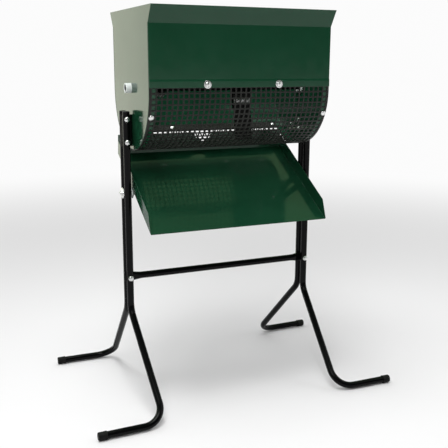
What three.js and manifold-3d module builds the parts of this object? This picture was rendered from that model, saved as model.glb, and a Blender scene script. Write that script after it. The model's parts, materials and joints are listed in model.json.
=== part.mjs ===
// Hand-turned rotary soil sieve on a four-legged tube stand.
// Millimetres, +Z up, +X along the agitator shaft, -Y towards the side the tray empties to.
// The origin is on the floor, midway between the four feet.
import * as THREE from "three";
import { mergeVertices } from "three/addons/utils/BufferGeometryUtils.js";
import Module from "manifold-3d";

const wasm = await Module();
wasm.setup();

// ---- Driving dimensions ------------------------------------------------------------------------
const GAP = 0.3; // between pieces that touch
const HOLE_TOOL = 24; // length of the rods that cut holes through single sheets
const SHEET = 1.5; // thickness of every sheet-metal piece

const HOPPER_WIDTH = 600; // over the side plates
const AXIS_Z = 1000; // shaft axis
const ARC_Z = 993; // centre of the half circle that closes the drum below the shaft
const FOLD_Z = 1188; // where the panels fold outwards
const TOP_Z = 1237; // rim of the hopper
const FLARE_OUT = 30; // how far the rim stands out from the panels
const PANEL_Y = 186; // outer face of the panels
const PANEL_EDGE_Z = 1005; // lower edge of the front panel
const LAP_TOP_Z = 1024; // top of the strip of the front panel that laps over the sieve sheet
const JOGGLE_HEIGHT = 5;
const LAP_OUT = SHEET + GAP; // step of the lap strip, outwards
const PLATE_R = PANEL_Y - SHEET - GAP; // round bottom of the side plates, outside
const FLANGE_DEPTH = 22; // inward flange round each side plate

const SIEVE_R = PLATE_R + GAP + SHEET; // outside radius of the sieve trough
const ARC_STEPS = 25; // flats in the half circle, counted from the front
const SIEVE_END_STEP = 19; // where the sieve sheet stops; the back panel laps over its last flat

const TUBE_D = 22;
const TUBE_WALL = 1.5;
const LEG_X = 322;
const LEG_Y = 18.5; // half the distance between the two tubes of one upright
const LEG_TOP_Z = 927.5;
const SPLIT_Z = 287; // where the two tubes of an upright part
const FOOT_CORNER_X = 303;
const FOOT_CORNER_Y = 295;
const FOOT_END_X = 511;
const FOOT_END_Y = 299;
const SPLIT_BEND_R = 60;
const FOOT_BEND_R = 62;

const CAP_D = 26;
const CAP_LENGTH = 27;
const CAP_END = 3;
const CAP_CHAMFER = 2;
const CAP_MOUTH_CHAMFER = 0.8;
const PLUG_STEM = 14;
const PLUG_HEAD = 3;

const CROSSBAR_Z = 395;
const CROSSBAR_FLAT_X = 290; // where the crossbar starts to be squashed flat
const CROSSBAR_FLAT_HEIGHT = 29;
const CROSSBAR_FLAT_OVERLAP = 12; // how far the flat part runs into the round part
const CROSSBAR_END_X = 336;

const BRACKET_LOW_Z = 821;
const BRACKET_HIGH_Z = 919;
const BRACKET_END_X = 331;
const BRACKET_SHEET = 2;
const LEG_BOLT_ZS = [834.5, 905.5];
const BRACKET_BOLT_ZS = [855, 886];

const BOLT_D = 7.8;
const BOLT_HOLE_D = 8.6;
const HEAD_D = 17;
const HEAD_H = 5;
const NUT_ACROSS_FLATS = 13;
const NUT_H = 6.5;
const THREAD_PAST_NUT = 3;
const PANEL_WASHER_D = 24;
const PANEL_WASHER_T = 1.6;
const PANEL_BOLT_X = 119;
const PANEL_BOLT_Z = AXIS_Z + 14;
const CORNER_BOLT_INSET = 10; // from the side of the hopper to the bolt
const SIEVE_BOLT_ANGLE = (23.3 * Math.PI) / 180; // below the horizontal
const LAP_BOLT_XS = { inner: 119, outer: 261 };

const BUSH_D = 30;
const BUSH_COLLAR_D = 46;
const BUSH_COLLAR_T = 4;
const BUSH_OUT = 18; // how far a bush stands out of its side plate
const BUSH_BORE_D = 23;
const SHAFT_RECESS = 2; // shaft end behind the bush's mouth

const PADDLES = [
  { word: "far_left", x: -208, angle: -8 }, // degrees from +Y, turning towards +Z
  { word: "left", x: -69, angle: 82 },
  { word: "right", x: 69, angle: -98 },
  { word: "far_right", x: 208, angle: 172 },
];
const ARM_WIDTH = 66;
const ARM_REACH = 72; // from the shaft axis
const ARM_SHEET = 4;
const WELD_DEPTH = 0.6; // how far the arm's plate sinks into the shaft
const BLADE_WIDTH = 60;
const BLADE_START = 28;
const BLADE_REACH = 177;
const BLADE_THICK = 6;
const CLAMP_R = 46; // radius of the row of three paddle studs
const CLAMP_SPACING = 17;
const CLAMP_HEIGHT = 16;
const STUD_D = 5.8;
const STUD_HOLE_D = 6.4;
const STUD_HEAD_D = 10;
const STUD_HEAD_H = 4;
const STUD_PAST_HEAD = 1;
const CLAMP_STRIP_T = 2;

const PIVOT_Z = 672;
const TRAY_TILT = (31 * Math.PI) / 180;
const TRAY_HALF_WIDTH = 304;
const TRAY_LENGTH = 396;
const TRAY_WALL = 43;
const TRAY_BACK_WALL = 65.5; // up the back wall's slope
const TRAY_BACK_ANGLE = (64.5 * Math.PI) / 180; // between the floor and the back wall
const TRAY_NOTCH_R = 31;
const TRAY_CHAMFER = 50;
const PIVOT_FROM_LIP = 211; // along the floor
const PIVOT_BELOW_FLOOR = 11;
const LUG_R = 17;
const LUG_SLOPE = 6; // how far the lug widens by where it meets the floor
const TRAY_FRONT = -PIVOT_FROM_LIP;
const TRAY_BACK = TRAY_FRONT + TRAY_LENGTH;
const SPACER_D = 30;
const CLAMP_WASHER_D = 35;
const CLAMP_WASHER_T = 2.5;

// ---- Materials ---------------------------------------------------------------------------------
function paint(color, roughness, metalness) {
  return new THREE.MeshStandardMaterial({ color, roughness, metalness });
}

const GREEN = paint(0x1f4d33, 0.22, 0.0);
const BLACK = paint(0x0d0d0e, 0.25, 0.0);
const SIEVE_BLACK = paint(0x242624, 0.45, 0.3);
const ZINC = paint(0xc9ccd0, 0.3, 0.9);
const RUBBER = paint(0x141414, 0.8, 0.0);
const NYLON = paint(0xeef2f0, 0.45, 0.0);

// ---- Solids ------------------------------------------------------------------------------------
function solidOf(geometry) {
  const bare = geometry.clone();
  bare.deleteAttribute("normal");
  bare.deleteAttribute("uv");
  const merged = mergeVertices(bare, 1e-4);
  return new wasm.Manifold(
    new wasm.Mesh({
      numProp: 3,
      vertProperties: new Float32Array(merged.attributes.position.array),
      triVerts: new Uint32Array(merged.index.array),
    }),
  );
}

function geometryOf(solid) {
  const mesh = solid.getMesh();
  const geometry = new THREE.BufferGeometry();
  geometry.setAttribute("position", new THREE.BufferAttribute(mesh.vertProperties, 3));
  geometry.setIndex(new THREE.BufferAttribute(mesh.triVerts, 1));
  geometry.computeVertexNormals();
  return geometry;
}

function join(first, ...others) {
  return geometryOf(others.reduce((sum, next) => sum.add(solidOf(next)), solidOf(first)));
}

function cut(body, ...tools) {
  return geometryOf(tools.reduce((rest, tool) => rest.subtract(solidOf(tool)), solidOf(body)));
}

// A cylinder along X, Y or Z, centred on (x, y, z).
function rod(axis, diameter, length, x, y, z, sides = 12) {
  const geometry = new THREE.CylinderGeometry(diameter / 2, diameter / 2, length, sides);
  if (axis === "X") geometry.rotateZ(-Math.PI / 2);
  if (axis === "Z") geometry.rotateX(Math.PI / 2);
  return geometry.translate(x, y, z);
}

function slab(xSize, ySize, zSize, x, y, z) {
  return new THREE.BoxGeometry(xSize, ySize, zSize).translate(x, y, z);
}

// An outline in (Y, Z), pushed out along +X from x = start.
function extrudeAlongX(shape, start, length) {
  const geometry = new THREE.ExtrudeGeometry(shape, { depth: length, bevelEnabled: false });
  const turned = new THREE.Matrix4().makeBasis(
    new THREE.Vector3(0, 1, 0),
    new THREE.Vector3(0, 0, 1),
    new THREE.Vector3(1, 0, 0),
  );
  return geometry.applyMatrix4(turned).translate(start, 0, 0);
}

// The section of a folded sheet: a path of (Y, Z) points, thickened to its left by mitred offsets.
function sheetSection(path, thickness) {
  const offset = path.map((point, i) => {
    const before = path[Math.max(i - 1, 0)];
    const after = path[Math.min(i + 1, path.length - 1)];
    const inward = (i > 0 ? point.clone().sub(before) : after.clone().sub(point)).normalize();
    const outward = (i < path.length - 1 ? after.clone().sub(point) : inward.clone()).normalize();
    const bisector = inward.clone().add(outward).normalize();
    const left = new THREE.Vector2(-bisector.y, bisector.x);
    return point.clone().addScaledVector(left, thickness / bisector.dot(inward));
  });
  return new THREE.Shape([...path, ...offset.reverse()]);
}

// Points on the half circle, which runs from -Y down and round to +Y.
function arcPoint(radius, step) {
  const angle = Math.PI + (Math.PI * step) / ARC_STEPS;
  return new THREE.Vector2(radius * Math.cos(angle), ARC_Z + radius * Math.sin(angle));
}

function arcPoints(radius, from, to) {
  return Array.from({ length: to - from + 1 }, (_, i) => arcPoint(radius, from + i));
}

function lathe(profile, sides) {
  return new THREE.LatheGeometry(profile.map(([r, y]) => new THREE.Vector2(r, y)), sides);
}

// A domed bolt with its nut: the underside of the head is at y = 0 and the shank runs down -Y
// to a nut whose near face is at y = -grip. With washerD the head sits on a washer.
function boltGeometry(grip, { washerD = 0, washerT = 0, nutFlats = NUT_ACROSS_FLATS } = {}) {
  const r = HEAD_D / 2;
  const reach = grip + NUT_H + THREAD_PAST_NUT;
  const profile = [
    [0, -reach],
    [BOLT_D / 2, -reach],
    [BOLT_D / 2, 0],
  ];
  if (washerD > 0) profile.push([washerD / 2, 0], [washerD / 2, washerT]);
  profile.push(
    [r, washerT],
    [r * 0.94, washerT + HEAD_H * 0.42],
    [r * 0.6, washerT + HEAD_H * 0.85],
    [0, washerT + HEAD_H],
  );
  const nut = new THREE.CylinderGeometry(
    nutFlats / Math.sqrt(3),
    nutFlats / Math.sqrt(3),
    NUT_H,
    6,
  ).translate(0, -grip - NUT_H / 2, 0);
  return join(lathe(profile, 10), nut);
}

// ---- Scene graph helpers -----------------------------------------------------------------------
const sieve = new THREE.Group();

function place(parent, name, geometry, material, position = [0, 0, 0]) {
  const mesh = new THREE.Mesh(geometry, material);
  mesh.name = name;
  mesh.position.set(...position);
  parent.add(mesh);
  return mesh;
}

// Turns a piece whose own +Y points along its axis so that it points along direction.
function pointAlong(mesh, direction) {
  mesh.quaternion.setFromUnitVectors(new THREE.Vector3(0, 1, 0), direction.clone().normalize());
}

const SIDES = [
  { word: "left", s: -1 },
  { word: "right", s: 1 },
];
const FACES = [
  { word: "front", s: -1 },
  { word: "back", s: 1 },
];

// ---- Stand -------------------------------------------------------------------------------------
// A bent tube's centre line: straight runs joined by arcs, with one station at each run's end and
// a few in each bend.
class BentLine extends THREE.Curve {
  constructor(corners, radii, arcSteps) {
    super();
    this.stations = [{ point: corners[0], tangent: corners[1].clone().sub(corners[0]).normalize() }];
    for (let i = 1; i < corners.length - 1; i++) {
      this.addBend(corners[i - 1], corners[i], corners[i + 1], radii[i - 1], arcSteps);
    }
    const [last, end] = corners.slice(-2);
    this.stations.push({ point: end, tangent: end.clone().sub(last).normalize() });
  }

  addBend(from, corner, to, radius, steps) {
    const inDirection = corner.clone().sub(from).normalize();
    const outDirection = to.clone().sub(corner).normalize();
    const angle = inDirection.angleTo(outDirection);
    const start = corner.clone().addScaledVector(inDirection, -radius * Math.tan(angle / 2));
    const normal = outDirection
      .clone()
      .addScaledVector(inDirection, -Math.cos(angle))
      .normalize();
    for (let i = 0; i <= steps; i++) {
      const turn = (angle * i) / steps;
      const point = start
        .clone()
        .addScaledVector(inDirection, radius * Math.sin(turn))
        .addScaledVector(normal, radius * (1 - Math.cos(turn)));
      const tangent = inDirection
        .clone()
        .multiplyScalar(Math.cos(turn))
        .addScaledVector(normal, Math.sin(turn));
      this.stations.push({ point, tangent });
    }
  }

  get steps() {
    return this.stations.length - 1;
  }

  getPointAt(u, target = new THREE.Vector3()) {
    return target.copy(this.stations[Math.round(u * this.steps)].point);
  }

  getTangentAt(u, target = new THREE.Vector3()) {
    return target.copy(this.stations[Math.round(u * this.steps)].tangent);
  }
}

function polygon(radius, sides) {
  return Array.from({ length: sides }, (_, i) => {
    const angle = (2 * Math.PI * i) / sides;
    return new THREE.Vector2(radius * Math.cos(angle), radius * Math.sin(angle));
  });
}

function tubeSection(diameter, wall) {
  const shape = new THREE.Shape(polygon(diameter / 2, 12));
  shape.holes.push(new THREE.Path(polygon(diameter / 2 - wall, 12).reverse()));
  return shape;
}

function legGeometry(sx, sy) {
  const footZ = CAP_D / 2;
  const corners = [
    new THREE.Vector3(sx * LEG_X, sy * LEG_Y, LEG_TOP_Z),
    new THREE.Vector3(sx * LEG_X, sy * LEG_Y, SPLIT_Z),
    new THREE.Vector3(sx * FOOT_CORNER_X, sy * FOOT_CORNER_Y, footZ),
    new THREE.Vector3(sx * (FOOT_END_X - CAP_END - GAP), sy * FOOT_END_Y, footZ),
  ];
  const line = new BentLine(corners, [SPLIT_BEND_R, FOOT_BEND_R], 6);
  const tube = new THREE.ExtrudeGeometry(tubeSection(TUBE_D, TUBE_WALL), {
    steps: line.steps,
    extrudePath: line,
  });
  const holes = [...LEG_BOLT_ZS, CROSSBAR_Z].map((z) =>
    rod("Y", BOLT_HOLE_D, TUBE_D * 1.5, sx * LEG_X, sy * LEG_Y, z, 10),
  );
  return cut(tube, ...holes);
}

function capGeometry() {
  const bore = TUBE_D / 2 + GAP;
  return lathe(
    [
      [0, 0],
      [CAP_D / 2 - CAP_CHAMFER, 0],
      [CAP_D / 2, CAP_CHAMFER],
      [CAP_D / 2, CAP_LENGTH - CAP_MOUTH_CHAMFER],
      [CAP_D / 2 - CAP_MOUTH_CHAMFER, CAP_LENGTH],
      [bore, CAP_LENGTH],
      [bore, CAP_END],
      [0, CAP_END],
    ],
    16,
  );
}

function plugGeometry() {
  const stem = TUBE_D / 2 - TUBE_WALL - 2 * GAP;
  return lathe(
    [
      [0, -PLUG_STEM],
      [stem, -PLUG_STEM],
      [stem, GAP],
      [TUBE_D / 2, GAP],
      [TUBE_D / 2, PLUG_HEAD / 2],
      [TUBE_D / 2 - PLUG_HEAD / 2, PLUG_HEAD],
      [0, PLUG_HEAD],
    ],
    14,
  );
}

function crossbarGeometry() {
  const thick = 2 * LEG_Y - TUBE_D - 2 * GAP;
  const round = new THREE.CylinderGeometry(TUBE_D / 2, TUBE_D / 2, 2 * CROSSBAR_FLAT_X, 14)
    .rotateZ(Math.PI / 2)
    .translate(0, 0, CROSSBAR_Z);
  const half = (CROSSBAR_FLAT_HEIGHT - thick) / 2;
  const flat = new THREE.Shape();
  flat.absarc(0, CROSSBAR_Z + half, thick / 2, 0, Math.PI);
  flat.absarc(0, CROSSBAR_Z - half, thick / 2, Math.PI, 2 * Math.PI);
  const ends = SIDES.map(({ s }) => {
    const innerEnd = CROSSBAR_FLAT_X - CROSSBAR_FLAT_OVERLAP;
    const start = s > 0 ? innerEnd : -CROSSBAR_END_X;
    return extrudeAlongX(flattened(flat), start, CROSSBAR_END_X - innerEnd);
  });
  const holes = SIDES.map(({ s }) => rod("Y", BOLT_HOLE_D, TUBE_D, s * LEG_X, 0, CROSSBAR_Z, 10));
  return cut(join(round, ...ends), ...holes);
}

// The same outline with six segments in each of its arcs.
function flattened(shape) {
  return new THREE.Shape(shape.getPoints(6));
}

function addStand() {
  for (const side of SIDES) {
    for (const face of FACES) {
      const name = `${side.word}_${face.word}`;
      place(sieve, `leg_${name}`, legGeometry(side.s, face.s), BLACK);
      const cap = place(sieve, `foot_cap_${name}`, capGeometry(), RUBBER, [
        side.s * FOOT_END_X,
        face.s * FOOT_END_Y,
        CAP_D / 2,
      ]);
      const alongFoot = new THREE.Vector3(
        side.s * (FOOT_CORNER_X - FOOT_END_X),
        face.s * (FOOT_CORNER_Y - FOOT_END_Y),
        0,
      );
      pointAlong(cap, alongFoot);
      const plug = place(sieve, `top_plug_${name}`, plugGeometry(), BLACK, [
        side.s * LEG_X,
        face.s * LEG_Y,
        LEG_TOP_Z,
      ]);
      pointAlong(plug, new THREE.Vector3(0, 0, 1));
    }
    const position = [side.s * LEG_X, -LEG_Y - TUBE_D / 2 - GAP, CROSSBAR_Z];
    addFrontBolt(`crossbar_bolt_${side.word}`, position, 2 * (LEG_Y + TUBE_D / 2 + GAP));
  }
  place(sieve, "crossbar", crossbarGeometry(), BLACK);
}

// A bolt whose head faces -Y.
function addFrontBolt(name, position, grip, options) {
  const bolt = place(sieve, name, boltGeometry(grip, options), ZINC, position);
  pointAlong(bolt, new THREE.Vector3(0, -1, 0));
}

// ---- Hopper ------------------------------------------------------------------------------------
function sidePlateOutline() {
  const shape = new THREE.Shape();
  const rim = PLATE_R + FLARE_OUT;
  shape.moveTo(-rim, TOP_Z);
  shape.lineTo(-PLATE_R, FOLD_Z);
  shape.lineTo(-PLATE_R, ARC_Z);
  shape.absarc(0, ARC_Z, PLATE_R, Math.PI, 2 * Math.PI);
  shape.lineTo(PLATE_R, FOLD_Z);
  shape.lineTo(rim, TOP_Z);
  return new THREE.Shape(shape.getPoints(ARC_STEPS / 2)); // an arc takes twice as many
}

function sidePlateGeometry(s) {
  const outer = s * (HOPPER_WIDTH / 2);
  const inner = outer - s * SHEET;
  const plate = extrudeAlongX(sidePlateOutline(), Math.min(outer, inner), SHEET);
  const flangeEnd = outer - s * FLANGE_DEPTH;
  const flangePath = [
    new THREE.Vector2(-PLATE_R, FOLD_Z),
    ...arcPoints(PLATE_R, 0, ARC_STEPS),
    new THREE.Vector2(PLATE_R, FOLD_Z),
  ];
  const flange = extrudeAlongX(
    sheetSection(flangePath, SHEET),
    Math.min(outer, flangeEnd),
    FLANGE_DEPTH,
  );
  const shaftHole = rod("X", BUSH_D + 2 * GAP, HOLE_TOOL, outer, 0, AXIS_Z, 24);
  const bracketHoles = BRACKET_BOLT_ZS.map((z) =>
    rod("X", BOLT_HOLE_D, HOLE_TOOL, outer, 0, z, 10),
  );
  return cut(join(plate, flange), shaftHole, ...bracketHoles, sieveBoltHole(s), backCornerHole(s));
}

function sieveBoltPlace(sx, radius) {
  return new THREE.Vector3(
    sx * (HOPPER_WIDTH / 2 - CORNER_BOLT_INSET),
    -radius * Math.cos(SIEVE_BOLT_ANGLE),
    ARC_Z - radius * Math.sin(SIEVE_BOLT_ANGLE),
  );
}

function sieveBoltHole(sx) {
  const centre = sieveBoltPlace(sx, PLATE_R);
  return rod("Y", BOLT_HOLE_D, HOLE_TOOL, 0, 0, 0, 10)
    .rotateX(SIEVE_BOLT_ANGLE)
    .translate(centre.x, centre.y, centre.z);
}

function backCornerHole(sx) {
  const x = sx * (HOPPER_WIDTH / 2 - CORNER_BOLT_INSET);
  return rod("Y", BOLT_HOLE_D, HOLE_TOOL, x, PANEL_Y, PANEL_BOLT_Z, 10);
}

// The middle of the flat where the back panel laps over the sieve sheet, counted in steps.
const LAP_FLAT = SIEVE_END_STEP - 0.5;
const LAP_DIRECTION = new THREE.Vector3(
  0,
  arcPoint(1, LAP_FLAT).x,
  arcPoint(1, LAP_FLAT).y - ARC_Z,
);

// How far a flat's middle is from the half circle's centre, when its corners are at radius.
function flatRadius(radius) {
  return radius * Math.cos(Math.PI / ARC_STEPS / 2);
}

function lapBoltXs() {
  return SIDES.flatMap((side) => Object.values(LAP_BOLT_XS).map((x) => side.s * x));
}

function lapBoltHoles() {
  const centre = arcPoint(flatRadius(SIEVE_R), LAP_FLAT);
  const slope = Math.atan2(LAP_DIRECTION.z, LAP_DIRECTION.y);
  return lapBoltXs().map((x) =>
    rod("Y", BOLT_HOLE_D, HOLE_TOOL, 0, 0, 0, 10)
      .rotateX(slope)
      .translate(x, centre.x, centre.y),
  );
}

function panelBoltHoles() {
  return SIDES.map((side) =>
    rod("Y", BOLT_HOLE_D, HOLE_TOOL, side.s * PANEL_BOLT_X, -PANEL_Y, PANEL_BOLT_Z, 10),
  );
}

// Where both panels fold outwards and end at the rim.
function panelTop() {
  const inner = PANEL_Y - SHEET;
  return [new THREE.Vector2(inner, FOLD_Z), new THREE.Vector2(inner + FLARE_OUT, TOP_Z)];
}

function panelOf(path) {
  const section = sheetSection(path, -SHEET);
  return extrudeAlongX(section, -HOPPER_WIDTH / 2, HOPPER_WIDTH);
}

function frontPanelGeometry() {
  const inner = PANEL_Y - SHEET;
  const path = [
    new THREE.Vector2(inner + LAP_OUT, PANEL_EDGE_Z),
    new THREE.Vector2(inner + LAP_OUT, LAP_TOP_Z),
    new THREE.Vector2(inner, LAP_TOP_Z + JOGGLE_HEIGHT),
    ...panelTop(),
  ];
  const mirrored = path.map((p) => new THREE.Vector2(-p.x, p.y)).reverse();
  return cut(panelOf(mirrored), ...panelBoltHoles());
}

// The back panel carries on down round the hopper's side plates and laps over the sieve sheet.
function backPanelGeometry() {
  const inner = PANEL_Y - SHEET;
  const joggleSteps = JOGGLE_HEIGHT / ((inner * Math.PI) / ARC_STEPS);
  const path = [
    ...arcPoints(inner + LAP_OUT, SIEVE_END_STEP - 1, SIEVE_END_STEP),
    arcPoint(inner, SIEVE_END_STEP + joggleSteps),
    ...arcPoints(inner, SIEVE_END_STEP + 1, ARC_STEPS),
    ...panelTop(),
  ];
  const cornerHoles = SIDES.map((side) => backCornerHole(side.s));
  return cut(panelOf(path), ...cornerHoles, ...lapBoltHoles());
}

function sieveGeometry() {
  const path = [new THREE.Vector2(-SIEVE_R, LAP_TOP_Z), ...arcPoints(SIEVE_R, 0, SIEVE_END_STEP)];
  const start = -HOPPER_WIDTH / 2 + GAP;
  const trough = extrudeAlongX(sheetSection(path, SHEET), start, HOPPER_WIDTH - 2 * GAP);
  const corners = SIDES.map((side) => sieveBoltHole(side.s));
  return cut(trough, ...corners, ...panelBoltHoles(), ...lapBoltHoles());
}

function bracketGeometry(s) {
  const half = LEG_Y - TUBE_D / 2 - GAP;
  const face = HOPPER_WIDTH / 2 + GAP;
  const height = BRACKET_HIGH_Z - BRACKET_LOW_Z;
  const middle = (BRACKET_HIGH_Z + BRACKET_LOW_Z) / 2;
  const reach = BRACKET_END_X - face;
  const block = slab(reach, 2 * half, height, s * (face + reach / 2), 0, middle);
  const hollow = slab(
    reach,
    2 * (half - BRACKET_SHEET),
    height + 2 * GAP,
    s * (face + BRACKET_SHEET + reach / 2),
    0,
    middle,
  );
  const legHoles = LEG_BOLT_ZS.map((z) =>
    rod("Y", BOLT_HOLE_D, HOLE_TOOL, s * LEG_X, 0, z, 10),
  );
  const plateHoles = BRACKET_BOLT_ZS.map((z) =>
    rod("X", BOLT_HOLE_D, HOLE_TOOL, s * face, 0, z, 10),
  );
  return cut(block, hollow, ...legHoles, ...plateHoles);
}

function addBracket(side) {
  place(sieve, `hopper_bracket_${side.word}`, bracketGeometry(side.s), BLACK);
  LEG_BOLT_ZS.forEach((z, i) => {
    const position = [side.s * LEG_X, -LEG_Y - TUBE_D / 2 - GAP, z];
    const name = `upright_bolt_${side.word}_${["low", "high"][i]}`;
    addFrontBolt(name, position, 2 * (LEG_Y + TUBE_D / 2 + GAP));
  });
  const grip = SHEET + GAP + BRACKET_SHEET + 2 * GAP;
  const nutFlats = 2 * (LEG_Y - TUBE_D / 2 - GAP - BRACKET_SHEET) - 2 * GAP;
  BRACKET_BOLT_ZS.forEach((z, i) => {
    const name = `bracket_bolt_${side.word}_${["low", "high"][i]}`;
    const headX = side.s * (HOPPER_WIDTH / 2 - SHEET - GAP);
    const bolt = place(sieve, name, boltGeometry(grip, { nutFlats }), ZINC, [headX, 0, z]);
    pointAlong(bolt, new THREE.Vector3(-side.s, 0, 0));
  });
}

// A bolt through the sieve sheet and the side plate's flange.
function addSieveBolt(side) {
  const seat = sieveBoltPlace(side.s, SIEVE_R + GAP).toArray();
  const bolt = place(sieve, `sieve_bolt_${side.word}`, boltGeometry(2 * SHEET + 4 * GAP), ZINC, seat);
  const below = Math.sin(SIEVE_BOLT_ANGLE);
  pointAlong(bolt, new THREE.Vector3(0, -Math.cos(SIEVE_BOLT_ANGLE), -below));
}

const TWO_SHEET_GRIP = 2 * SHEET + 3 * GAP;

function addPanelBolt(side) {
  const seat = [side.s * PANEL_BOLT_X, -(PANEL_Y + LAP_OUT + GAP), PANEL_BOLT_Z];
  const washer = { washerD: PANEL_WASHER_D, washerT: PANEL_WASHER_T };
  addFrontBolt(`panel_bolt_${side.word}`, seat, TWO_SHEET_GRIP, washer);
}

function addBackCornerBolt(side) {
  const seat = [
    side.s * (HOPPER_WIDTH / 2 - CORNER_BOLT_INSET),
    PANEL_Y + GAP,
    PANEL_BOLT_Z,
  ];
  const name = `back_corner_bolt_${side.word}`;
  const bolt = place(sieve, name, boltGeometry(TWO_SHEET_GRIP), ZINC, seat);
  pointAlong(bolt, new THREE.Vector3(0, 1, 0));
}

function addLapBolts(side) {
  const seat = arcPoint(flatRadius(SIEVE_R + GAP) + SHEET + GAP, LAP_FLAT);
  for (const [word, x] of Object.entries(LAP_BOLT_XS)) {
    const name = `back_lap_bolt_${side.word}_${word}`;
    const position = [side.s * x, seat.x, seat.y];
    const bolt = place(sieve, name, boltGeometry(TWO_SHEET_GRIP), ZINC, position);
    pointAlong(bolt, LAP_DIRECTION);
  }
}

function addHopper() {
  for (const side of SIDES) {
    place(sieve, `side_plate_${side.word}`, sidePlateGeometry(side.s), GREEN);
    addBracket(side);
    addSieveBolt(side);
    addPanelBolt(side);
    addBackCornerBolt(side);
    addLapBolts(side);
  }
  place(sieve, "front_panel", frontPanelGeometry(), GREEN);
  place(sieve, "back_panel", backPanelGeometry(), GREEN);
  place(sieve, "sieve_trough", sieveGeometry(), SIEVE_BLACK);
}

// ---- Agitator ----------------------------------------------------------------------------------
// A bush with its mouth at y = 0 and its collar, inside the hopper, at the far end.
function bushGeometry() {
  const plateBack = -BUSH_OUT - SHEET - GAP;
  return lathe(
    [
      [BUSH_BORE_D / 2, 0],
      [BUSH_BORE_D / 2, plateBack - BUSH_COLLAR_T],
      [BUSH_COLLAR_D / 2, plateBack - BUSH_COLLAR_T],
      [BUSH_COLLAR_D / 2, plateBack],
      [BUSH_D / 2, plateBack],
      [BUSH_D / 2, -1],
      [BUSH_D / 2 - 1, 0],
      [BUSH_BORE_D / 2, 0],
    ],
    20,
  );
}

// The shaft tube with its four arms welded on.
function shaftGeometry() {
  const half = HOPPER_WIDTH / 2 + BUSH_OUT - SHAFT_RECESS;
  const tube = extrudeAlongX(tubeSection(TUBE_D, TUBE_WALL), -half, 2 * half);
  const arms = PADDLES.map((paddle) => armGeometry().applyMatrix4(paddlePlace(paddle)));
  return join(tube, ...arms);
}

// Each paddle is built with its reach along +Y and its plates on the +Z side of the shaft, then
// turned over and swung to its angle.
function paddlePlace({ x, angle }) {
  const turn = new THREE.Euler(THREE.MathUtils.degToRad(angle), Math.PI, 0);
  return new THREE.Matrix4().makeRotationFromEuler(turn).setPosition(x, 0, 0);
}

const ARM_Z = TUBE_D / 2 - WELD_DEPTH; // the arm lies against one side of the shaft

function armGeometry() {
  const back = -TUBE_D / 2;
  const length = ARM_REACH - back;
  const plate = slab(ARM_WIDTH, length, ARM_SHEET, 0, back + length / 2, ARM_Z + ARM_SHEET / 2);
  return cut(plate, ...studHoles(ARM_Z));
}

function studXs() {
  return [-CLAMP_SPACING, 0, CLAMP_SPACING];
}

function studHoles(z) {
  return studXs().map((x) => rod("Z", STUD_HOLE_D, HOLE_TOOL, x, CLAMP_R, z, 8));
}

function bladeGeometry() {
  const length = BLADE_REACH - BLADE_START;
  const z = ARM_Z + ARM_SHEET + GAP + BLADE_THICK / 2;
  const blade = slab(BLADE_WIDTH, length, BLADE_THICK, 0, BLADE_START + length / 2, z);
  return cut(blade, ...studHoles(z));
}

// A strip that presses the blade on to the arm, with three studs through both.
function clampGeometry() {
  const z = ARM_Z + ARM_SHEET + BLADE_THICK + 2 * GAP;
  const strip = slab(BLADE_WIDTH, CLAMP_HEIGHT, CLAMP_STRIP_T, 0, CLAMP_R, z + CLAMP_STRIP_T / 2);
  const nutTop = ARM_Z - GAP;
  const bottom = nutTop - STUD_HEAD_H - STUD_PAST_HEAD;
  const headMiddle = z + (CLAMP_STRIP_T + STUD_HEAD_H) / 2;
  const studs = studXs().flatMap((x) => [
    rod("Z", STUD_D, headMiddle - bottom, x, CLAMP_R, (headMiddle + bottom) / 2, 8),
    rod("Z", STUD_HEAD_D, STUD_HEAD_H, x, CLAMP_R, headMiddle, 6),
    rod("Z", STUD_HEAD_D, STUD_HEAD_H, x, CLAMP_R, nutTop - STUD_HEAD_H / 2, 6),
  ]);
  return join(strip, ...studs);
}

function addAgitator() {
  for (const side of SIDES) {
    const mouth = [side.s * (HOPPER_WIDTH / 2 + BUSH_OUT), 0, AXIS_Z];
    const bush = place(sieve, `shaft_bush_${side.word}`, bushGeometry(), NYLON, mouth);
    pointAlong(bush, new THREE.Vector3(side.s, 0, 0));
  }
  const agitator = new THREE.Group();
  agitator.position.set(0, 0, AXIS_Z);
  sieve.add(agitator);
  place(agitator, "agitator_shaft", shaftGeometry(), BLACK);
  for (const paddle of PADDLES) {
    const group = new THREE.Group();
    group.applyMatrix4(paddlePlace(paddle));
    agitator.add(group);
    place(group, `paddle_blade_${paddle.word}`, bladeGeometry(), RUBBER);
    place(group, `paddle_clamp_${paddle.word}`, clampGeometry(), ZINC);
  }
}

// ---- Tray --------------------------------------------------------------------------------------
// The tray's own frame has its origin on the pivot axis, +Y up the slope and +Z off the floor.
function trayWallGeometry(s) {
  const floor = PIVOT_BELOW_FLOOR;
  const outline = new THREE.Shape();
  outline.moveTo(TRAY_FRONT, floor);
  outline.lineTo(-LUG_R - LUG_SLOPE, floor);
  outline.lineTo(-LUG_R, 0);
  outline.absarc(0, 0, LUG_R, Math.PI, 2 * Math.PI);
  outline.lineTo(LUG_R + LUG_SLOPE, floor);
  outline.lineTo(TRAY_BACK, floor);
  outline.lineTo(TRAY_BACK + TRAY_WALL / Math.tan(TRAY_BACK_ANGLE), floor + TRAY_WALL);
  outline.lineTo(TRAY_FRONT + TRAY_CHAMFER, floor + TRAY_WALL);
  const start = s > 0 ? TRAY_HALF_WIDTH - SHEET : -TRAY_HALF_WIDTH;
  return extrudeAlongX(new THREE.Shape(outline.getPoints(8)), start, SHEET);
}

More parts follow.
